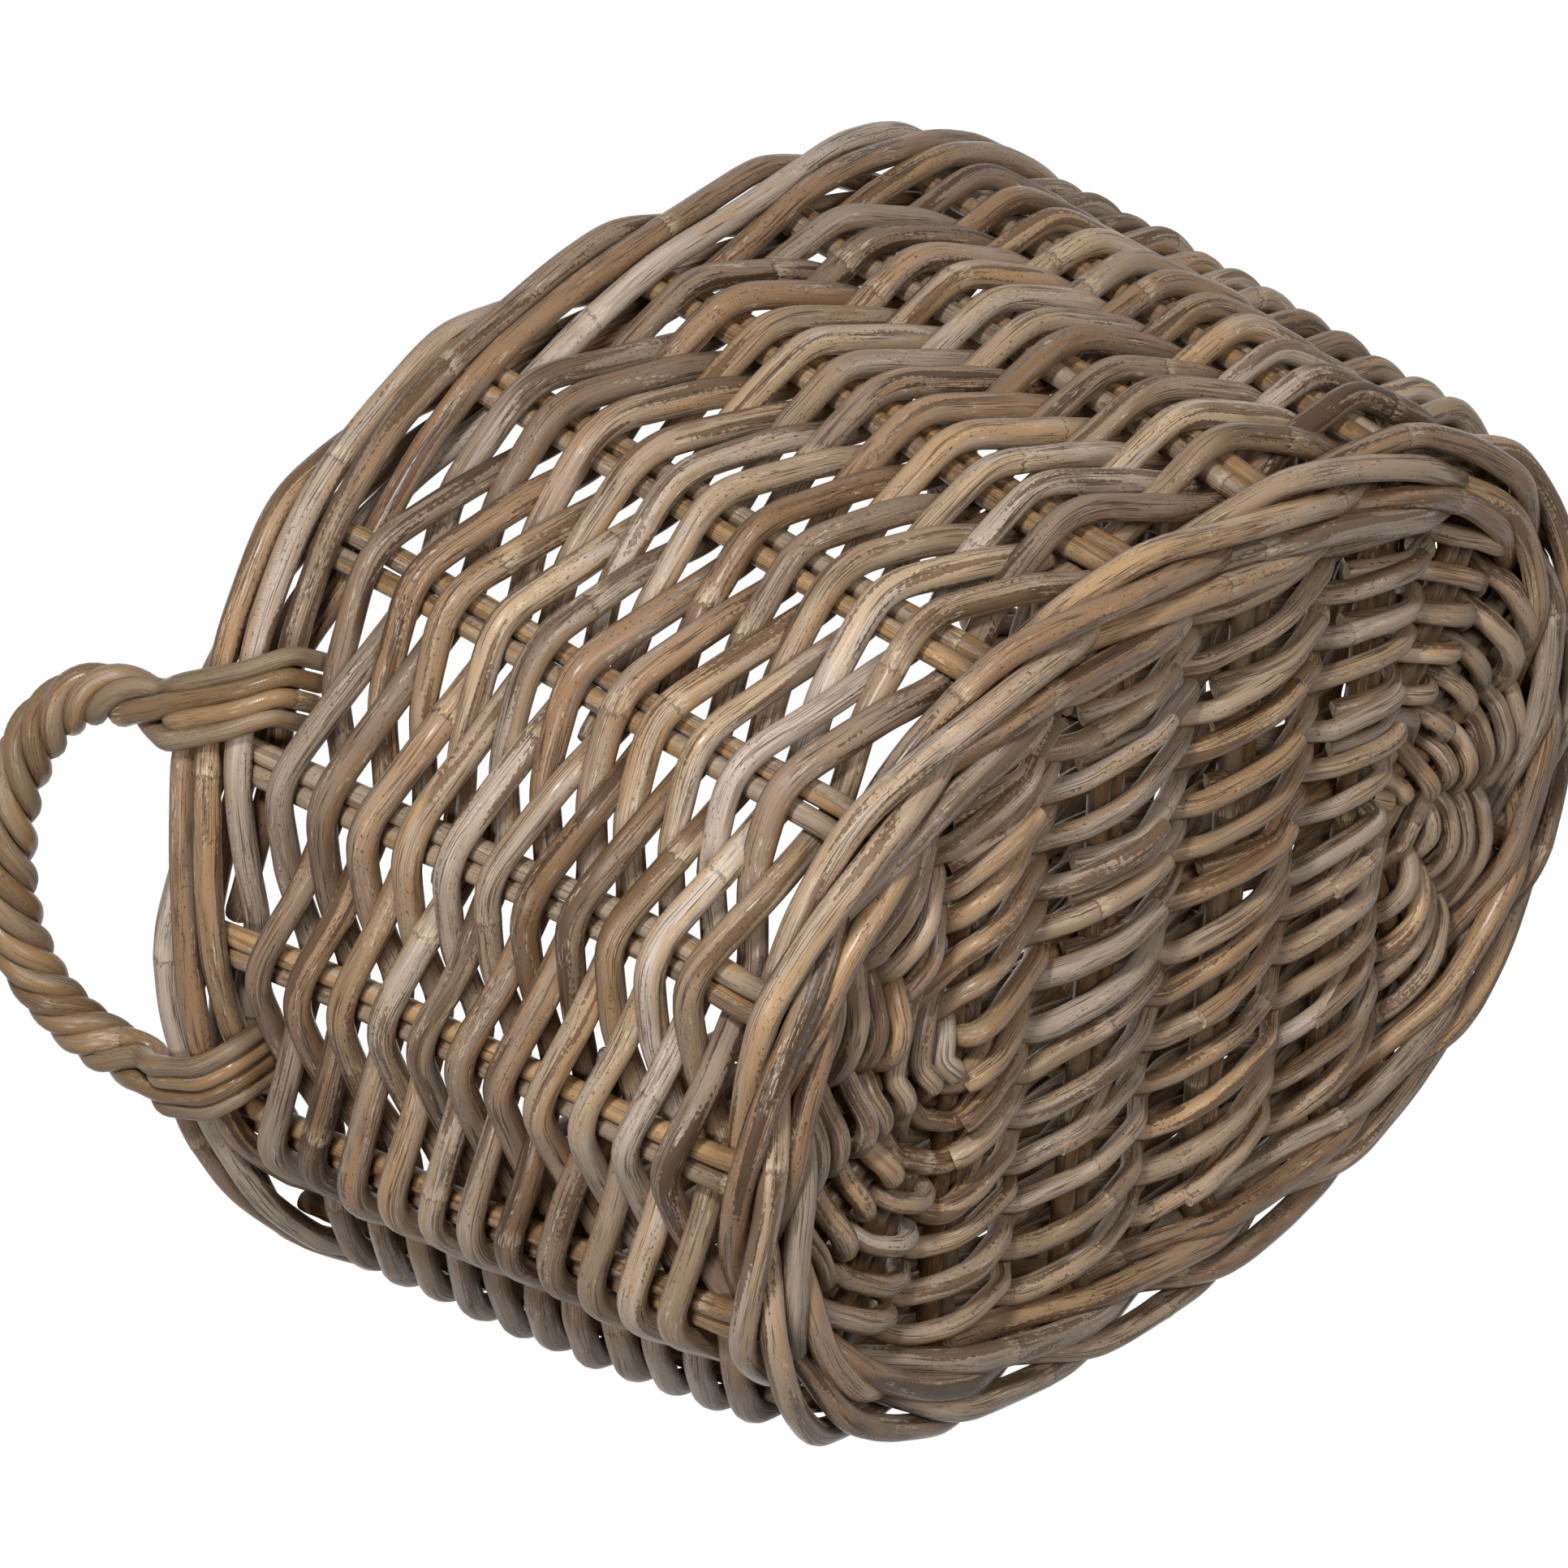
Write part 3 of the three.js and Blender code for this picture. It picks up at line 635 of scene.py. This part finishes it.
def build_stakes():
    rng = np.random.default_rng(11)
    half = STAKES // 2

    def make_pair(name, stations):
        trims = [[rng.uniform(0, UNEVEN_END) for _ in range(2)] for _ in range(2)]
        make_piece(name, pair_of_rods(stations, trims, rng), "stake")

    for stake in range(3, half - 2):
        near, far = stake_stations(stake), stake_stations(STAKES - stake)
        make_pair(f"cross_pair_{stake}", (near[0] + far[0][::-1], near[1] + far[1][::-1]))
    for stake in [1, 2, half - 2, half - 1, half + 1, half + 2, STAKES - 2, STAKES - 1]:
        points, outs = stake_stations(stake)
        point, out, _ = base_frame(stake, np.float64(STICK_TIP))
        make_pair(f"end_pair_{stake}", (points + [point], outs + [out]))
    # The long pair passes over the spine, on the upper side of the cross pairs
    lift = STAKE_ROD + CONTACT_GAP
    left, right = stake_stations(half), stake_stations(0)
    for stations, stake in ((left, half), (right, 0)):
        place = base_frame(stake, np.float64(HUB_RADIUS - WEAVER / 2))
        stations[0].append(place[0])
        stations[1].append(place[1])
        place = base_frame(stake, np.float64(0.0))
        stations[0].append(moved(place, -lift, 0))
        stations[1].append(place[1])
    make_pair("long_pair", (left[0] + right[0][::-1], left[1] + right[1][::-1]))


# Woven strands

# How far apart the two ends of a round lie, and how far they run past their stake
END_APART, OLD_END_PAST, NEW_END_BEFORE = 0.0049, 0.26, 0.24
# A pass of the wall is flatter than its reach and slopes down, with a lean of its own
WALL_FLAT, WALL_UP, WALL_DOWN, WALL_LEAN = 0.0006, 0.0005, 0.0008, 0.0005
FOOT_MARGIN, FOOT_PARTNER_REACH, FOOT_PARTNER_CLIMB = 0.0165, 0.94, 0.7
# Stakes onward, outward and upward: in front of two stakes and behind the third
FOOT_STEPS = ((0, WALL_REACH, FOOT_HIGH), (0.5, WALL_REACH, 0.1 * FOOT_HIGH),
              (1, WALL_REACH, -FOOT_LOW), (1.5, 0, -FOOT_CROSS),
              (2, -INNER_REACH, FOOT_SWAY), (2.5, 0, FOOT_CROSS))


def twined_points(strand, height, start, rng):
    """Once round the basket from stake start, one of two strands twisted about each other.

    The old end and the new one lie side by side where the round closes."""
    points = []

    def add(stake, outward, upward):
        points.append(moved(wall_frame(stake, height), outward, upward))

    for number in range(start, start + STAKES + 1):
        side = 1 if (number + strand) % 2 == 0 else -1
        if number > start:
            add(number - 0.5 + rng.uniform(-0.04, 0.04), -side * CROSS_OUT, side * CROSS_SWAY)
        first, last = rng.uniform(0.04, 0.10), rng.uniform(0.04, 0.10)
        lean = rng.normal(0, WALL_LEAN)
        reach = (WALL_REACH if side > 0 else -INNER_REACH) - side * WALL_FLAT
        sway = side * WALL_SWAY
        if number == start:
            add(number - NEW_END_BEFORE, reach, sway + END_APART)
            add(number + last, reach, sway + END_APART)
        elif number == start + STAKES:
            add(number - first, reach, sway - END_APART)
            add(number + OLD_END_PAST, reach, sway - END_APART)
        else:
            add(number - first, reach, sway + lean + WALL_UP)
            add(number + last, reach, sway + lean - WALL_DOWN)
    return points


def build_wall():
    for row in range(WALL_ROWS):
        height = FIRST_ROW + row * ROW_PITCH
        for strand, letter in enumerate("ab"):
            rng = np.random.default_rng(100 + 2 * row + strand)
            # The ends lie at a stake that the strand passes on the inside
            start = 2 * int(rng.integers(0, STAKES // 2)) + 1 - strand
            points = twined_points(strand, height, start, rng)
            size = WEAVER * rng.uniform(1.08, 1.27)
            slot = WEAVER_SLOTS[(2 * row + 3 * strand) % 5]
            make_piece(f"wall_row_{row + 1}_{letter}", [rod(points, size, rng)], slot)


def foot_routes(strand, rng):
    """Lines of a foot rod round the bend and of its partner on the underside of the base."""
    bend_line, base_line = [], []
    for stake in range(strand, strand + STAKES, 3):
        for onward, outward, upward in FOOT_STEPS:
            here = float(stake + onward)
            uneven = rng.normal(0, 0.0004)
            bend_line.append(moved(bend_frame(here, 0.5), outward, upward + uneven))
            distance = spine_line(here)[2] - FOOT_MARGIN
            base_line.append(moved(base_frame(here, distance), FOOT_PARTNER_REACH * outward,
                                   FOOT_PARTNER_CLIMB * upward))
    return bend_line, base_line


def build_foot():
    for strand, letter in enumerate("abc"):
        rng = np.random.default_rng(200 + strand)
        rods = []
        for route, points in enumerate(foot_routes(strand, rng)):
            first = (4 + 6 * strand + 18 * route) % len(points)
            line = resample(np.array(points[first:] + points[:first + 1]), LINE_STEP)[2:-3]
            rods.append(rod(line, WEAVER * rng.uniform(1.08, 1.18), rng, bend=0.010))
        make_piece(f"foot_strand_{letter}", rods, WEAVER_SLOTS[(strand + 3) % 5], True)


# Base weave

BASE_CROSS_OUT, BASE_CROSS_CLIMB = 0.30 * WEAVER, 0.0060
# Points of a pass over a stick: place in steps, share of the reach and climb, which is less
# where the rounds lie closer than PASS_PITCH
BASE_PASS = ((-0.34, 0.58, -0.0040), (-0.06, 1.0, -0.0010), (0.13, 1.0, 0.0010),
             (0.36, 0.55, 0.0054))
PASS_PITCH = 0.0207
BASE_LEAN, BASE_EARLY, BASE_UNEVEN = 0.0013, 0.045, 0.0003
# Steps before the first full round, rods in a strand and least distance from the spine
BASE_INNER_STEPS, BASE_PIECES, INNERMOST = 19, 14, 0.0080
# Steps from a join to the end of the old rod and back to the start of the new one, and how dark the
# painted shade makes the side of the base inside the basket
OLD_END, NEW_END, INSIDE_SHADE = 0.30, 0.20, 0.5
BENT_POINTS, NEW_END_IN, OLD_END_OUT = 30, 0.010, 0.002


def base_points(strand, rng):
    """A strand that winds outward round the spine, twisted about the other between the base sticks.

    Returns the points, the step of each and the steps at which the strand shows from below."""
    steps = BASE_ROUNDS * STAKES
    points, places, seen = [], [], []

    def add(step, across, onward):
        room = spine_line(step)[2] - BASE_MARGIN - HUB_RADIUS
        distance = max(HUB_RADIUS + room * step / steps, INNERMOST)
        squeeze = room / BASE_ROUNDS / PASS_PITCH
        points.append(moved(base_frame(step, distance), across, onward * squeeze))
        places.append(step)

    last = None
    for step in range(-BASE_INNER_STEPS, steps + 1):
        number = step % (STAKES // 2)
        from_end = min(number, STAKES // 2 - number)
        room = spine_line(float(step))[2] - BASE_MARGIN - HUB_RADIUS
        # Near the spine there is no stick of an end pair to pass
        if from_end in (1, 2) and HUB_RADIUS + room * step / steps < STICK_TIP + 0.004:
            continue
        side = 1 if (step + strand) % 2 == 0 else -1
        if side > 0 and from_end >= 3:
            seen.append(step)
        if last is not None:
            add((last + step) / 2, -side * BASE_CROSS_OUT, -side * BASE_CROSS_CLIMB)
        lean = rng.normal(0, BASE_LEAN)
        for onward, reach, climb in BASE_PASS:
            early = rng.uniform(-BASE_EARLY, BASE_EARLY) if from_end > 2 else 0
            uneven = rng.normal(0, BASE_UNEVEN)
            add(step + onward + early, side * reach * BASE_REACH, side * climb + lean + uneven)
        last = step
    return np.array(points), np.array(places), np.array(seen)


def build_base():
    for strand, letter in enumerate("ab"):
        rng = np.random.default_rng(300 + strand)
        points, places, seen = base_points(strand, rng)
        lengths = np.linalg.norm(np.diff(points, axis=0), axis=1)
        travel = np.concatenate([[0], np.cumsum(lengths)])
        line = resample(points, FINE_STEP)
        # An old rod ends in the open past a stick, and the new one starts behind it
        share = len(seen) / BASE_PIECES
        joins = seen[[int(share * (k + rng.uniform(-0.38, 0.38))) for k in range(1, BASE_PIECES)]]

        def point_number(step):
            return int(np.interp(step, places, travel) / FINE_STEP)

        ends = [point_number(step + OLD_END) for step in joins] + [len(line)]
        starts = [0] + [point_number(step - NEW_END) for step in joins]
        rise = np.linspace(1, 0, BENT_POINTS)
        rods = []
        for first, last in zip(starts, ends):
            part = line[first:last].copy()
            if first > 0:
                part[:BENT_POINTS, 2] += NEW_END_IN * rise
            if last < len(line):
                part[-BENT_POINTS:, 2] -= OLD_END_OUT * rise[::-1]
            size = WEAVER * rng.uniform(0.87, 1.08)
            rods.append(rod(part, size, rng, bend=0.0026, sway=0.0011))
            # Painted shade: the side that lies inside the basket is painted darker
            inside = rods[-1]["points"][:, 2] - BASE_LEVEL - BASE_RISE
            rods[-1]["painted_shade"] = INSIDE_SHADE * smooth_step((inside + 0.003) / 0.008)
        make_piece(f"base_strand_{letter}", rods, ("weaver_tan", "weaver_grey")[strand])


# Border

def build_border():
    half = BORDER_RODS // 2
    for number in range(BORDER_RODS):
        rng = np.random.default_rng(400 + number)

        def place(stake):
            phase = (stake - number) % BORDER_RODS
            outside = phase < half
            level = phase if outside else BORDER_RODS - 1 - phase
            height = BORDER_LOW + level * (BORDER_HIGH - BORDER_LOW) / (half - 1)
            return height, BORDER_REACH if outside else -BORDER_REACH

        points = []
        start = number + 4
        for stake in range(start, start + STAKES + 1):
            height, outward = place(stake)
            points.append(moved(wall_frame(float(stake), height), outward, 0))
            if stake < start + STAKES:
                next_height, next_outward = place(stake + 1)
                halfway = wall_frame(stake + 0.5, (height + next_height) / 2)
                points.append(moved(halfway, (outward + next_outward) / 2, 0))
        line = resample(np.array(points), LINE_STEP)[2:-2]
        make_piece(f"border_rod_{number + 1}", [rod(line, 1.12 * WEAVER, rng, bend=0.011)],
                   WEAVER_SLOTS[(number + 1) % 5])


# Rope handles

# How many stakes the feet and the ends of the rope are apart, and how many both are moved
HANDLE_FEET, HANDLE_FEET_SHIFT = 1.96, 0.40
HANDLE_SPAN, HANDLE_SHIFT = 1.852, 0.144
HANDLE_RISE, HANDLE_LEAN, ARCH_POWER = 0.0635, 0.0075, 0.745
HANDLE_STRANDS, HANDLE_TURNS, ROPE_START = 4, -4, 1.25
HANDLE_THICK, ROPE_RADIUS, FOOT_PITCH = 1.22, 0.98 * HANDLE_ROD, 0.97 * HANDLE_ROD
FOOT_ORDER = (-1.5, -0.5, 1.5, 0.5)


def handle_foot(foot_stake, rope_stake, shift):
    """From inside the wall below the border, out and up across the border to the rope."""
    flat = WEAVER * math.cos(math.pi / 5)
    reach = BORDER_REACH + (flat + HANDLE_ROD) / 2 + CONTACT_GAP
    low = BORDER_LOW - (WEAVER + HANDLE_ROD) / 2 - CONTACT_GAP
    points = []
    for outward, height, part in ((-0.55 * reach, low, 0), (0.62 * reach, low, 0),
                                  (reach, BORDER_LOW, 0.35), (reach, BORDER_HIGH, 0.85)):
        point, out, _ = wall_frame(foot_stake + part * (rope_stake - foot_stake), height)
        side = np.array([-out[1], out[0], 0])
        points.append(point + out * outward + side * shift)
    return points


def handle_middle(part, middle):
    """Middle of the rope, part of the way along it."""
    stake = middle - HANDLE_SPAN / 2 * math.cos(math.pi * part)
    arch = math.sin(math.pi * part)
    rise = BORDER_HIGH + WEAVER / 2 + HANDLE_ROD + HANDLE_RISE * arch ** ARCH_POWER
    point, out, _ = wall_frame(stake, BORDER_HIGH)
    point = point + out * (BORDER_REACH + HANDLE_LEAN * arch)
    point[2] = BASE_LEVEL + rise
    return point


def build_handles():
    for side_name, end_stake in (("left", STAKES / 2), ("right", 0)):
        middle, feet = end_stake + HANDLE_SHIFT, end_stake + HANDLE_FEET_SHIFT
        chord_out = wall_frame(middle, BORDER_HIGH)[1]
        for strand in range(HANDLE_STRANDS):
            rng = np.random.default_rng(500 + strand + (50 if side_name == "right" else 0))
            shift = FOOT_ORDER[strand] * (FOOT_PITCH + CONTACT_GAP)
            points = handle_foot(feet - HANDLE_FEET / 2, middle - HANDLE_SPAN / 2, shift)
            for part in np.linspace(0, 1, 91):
                ahead = handle_middle(min(part + 0.02, 1), middle)
                toward = ahead - handle_middle(max(part - 0.02, 0), middle)
                toward /= np.linalg.norm(toward)
                out = chord_out - toward * chord_out.dot(toward)
                out /= np.linalg.norm(out)
                side = np.cross(toward, out)
                turns = (strand - ROPE_START) / HANDLE_STRANDS + HANDLE_TURNS * part
                angle = 2 * math.pi * turns
                spoke = ROPE_RADIUS * (out * math.cos(angle) + side * math.sin(angle))
                points.append(handle_middle(part, middle) + spoke)
            points += handle_foot(feet + HANDLE_FEET / 2, middle + HANDLE_SPAN / 2, -shift)[::-1]
            rope_rod = rod(points, HANDLE_THICK * HANDLE_ROD, rng, bend=0.0035, sway=0.0002,
                           internode=0.30, thin_ends=0.20)
            make_piece(f"handle_{side_name}_strand_{strand + 1}", [rope_rod], "handle")


# Room, lamps and camera

def build_floor():
    """Pale floor seen from above only, so that the basket can also be seen from below."""
    bpy.ops.mesh.primitive_plane_add(size=12, location=(0, 0, 0))
    floor = bpy.context.object
    floor.name = "floor"
    material = bpy.data.materials.new("Floor")
    material.use_nodes = True
    tree = material.node_tree
    n = Nodes(tree)
    shader = tree.nodes["Principled BSDF"]
    shader.inputs["Base Color"].default_value = (0.9, 0.9, 0.9, 1)
    shader.inputs["Roughness"].default_value = 0.9
    camera_ray = n.add("ShaderNodeLightPath").outputs["Is Camera Ray"]
    behind = n.add("ShaderNodeNewGeometry").outputs["Backfacing"]
    seen = n.math("MULTIPLY", camera_ray, n.inverse(behind))
    clear = n.add("ShaderNodeBsdfTransparent").outputs[0]
    mixed = n.add("ShaderNodeMixShader", {0: seen, 1: clear, 2: shader.outputs[0]})
    tree.links.new(mixed.outputs[0], tree.nodes["Material Output"].inputs["Surface"])
    floor.data.materials.append(material)


def build_world():
    """White where it is seen, directly or in gloss, and a weak warm light on everything else."""
    world = bpy.data.worlds.new("Room")
    bpy.context.scene.world = world
    world.use_nodes = True
    tree = world.node_tree
    n = Nodes(tree)
    path = n.add("ShaderNodeLightPath").outputs
    seen = n.math("MAXIMUM", n.math("MAXIMUM", path["Is Camera Ray"], path["Is Transmission Ray"]),
                  path["Is Glossy Ray"])
    background = tree.nodes["Background"]
    colour = n.mix(seen, (1.0, 0.84, 0.70, 1.0), (1.0, 1.0, 1.0, 1.0))
    tree.links.new(colour, background.inputs["Color"])
    tree.links.new(n.span(seen, 0.0, 1.0, 0.04, 1.0), background.inputs["Strength"])


# Fitted to the photo: turn and place in the camera's frame, focal length and centre in pixels
CAMERA_TURN = Vector((-2.38147, -0.23331, 1.11981))
CAMERA_PLACE = Vector((0.153435, -0.070459, -2.643193))
FOCAL_PIXELS, CENTRE_X, CENTRE_Y = 8581.75, 17.83, -34.22
PHOTO_PIXELS, SENSOR = 1932, 36


def build_camera():
    turn = Matrix.Rotation(CAMERA_TURN.length, 3, CAMERA_TURN)
    back = turn.transposed()
    camera = bpy.data.objects.new("camera", bpy.data.cameras.new("camera"))
    camera.matrix_world = Matrix.Translation(back @ -CAMERA_PLACE) @ back.to_4x4()
    camera.data.sensor_width = SENSOR
    camera.data.lens = FOCAL_PIXELS * SENSOR / PHOTO_PIXELS
    camera.data.shift_x = -CENTRE_X / PHOTO_PIXELS
    camera.data.shift_y = CENTRE_Y / PHOTO_PIXELS
    camera.data.clip_start = 0.05
    bpy.context.scene.collection.objects.link(camera)
    bpy.context.scene.camera = camera
    return camera


def lamp(name, place, target, size, watts):
    data = bpy.data.lights.new(name, "AREA")
    data.shape, data.size, data.energy = "DISK", size, watts
    light = bpy.data.objects.new(name, data)
    turn = (target - place).to_track_quat("-Z", "Y").to_matrix().to_4x4()
    light.matrix_world = Matrix.Translation(place) @ turn
    bpy.context.scene.collection.objects.link(light)
    return light


def build_lamps(camera):
    turn = camera.matrix_world.to_3x3()
    middle = Vector((0, 0, 0.13))
    away = -(turn @ Vector((0, 0, 1.0)))
    lamp("lamp_front", middle + turn @ Vector((-0.40, 0.80, 2.1)), middle, 0.30, 40)
    lamp("lamp_side", middle + turn @ Vector((0.9, 0.4, 1.9)), middle, 0.8, 19)
    lamp("lamp_low", middle + turn @ Vector((-1.0, -0.9, 1.8)), middle, 0.8, 19)
    lamp("lamp_key", middle + turn @ Vector((-0.8, 1.4, 1.2)), middle, 0.5, 5)
    back = lamp("lamp_back", middle + Vector((1.2 * away.x, 1.2 * away.y, 1.9)), middle, 1.2, 46)
    back.visible_glossy = False


scene = bpy.context.scene
scene.view_settings.view_transform = "Standard"
build_stakes()
build_wall()
build_foot()
build_base()
build_border()
build_handles()
build_floor()
build_world()
build_lamps(build_camera())
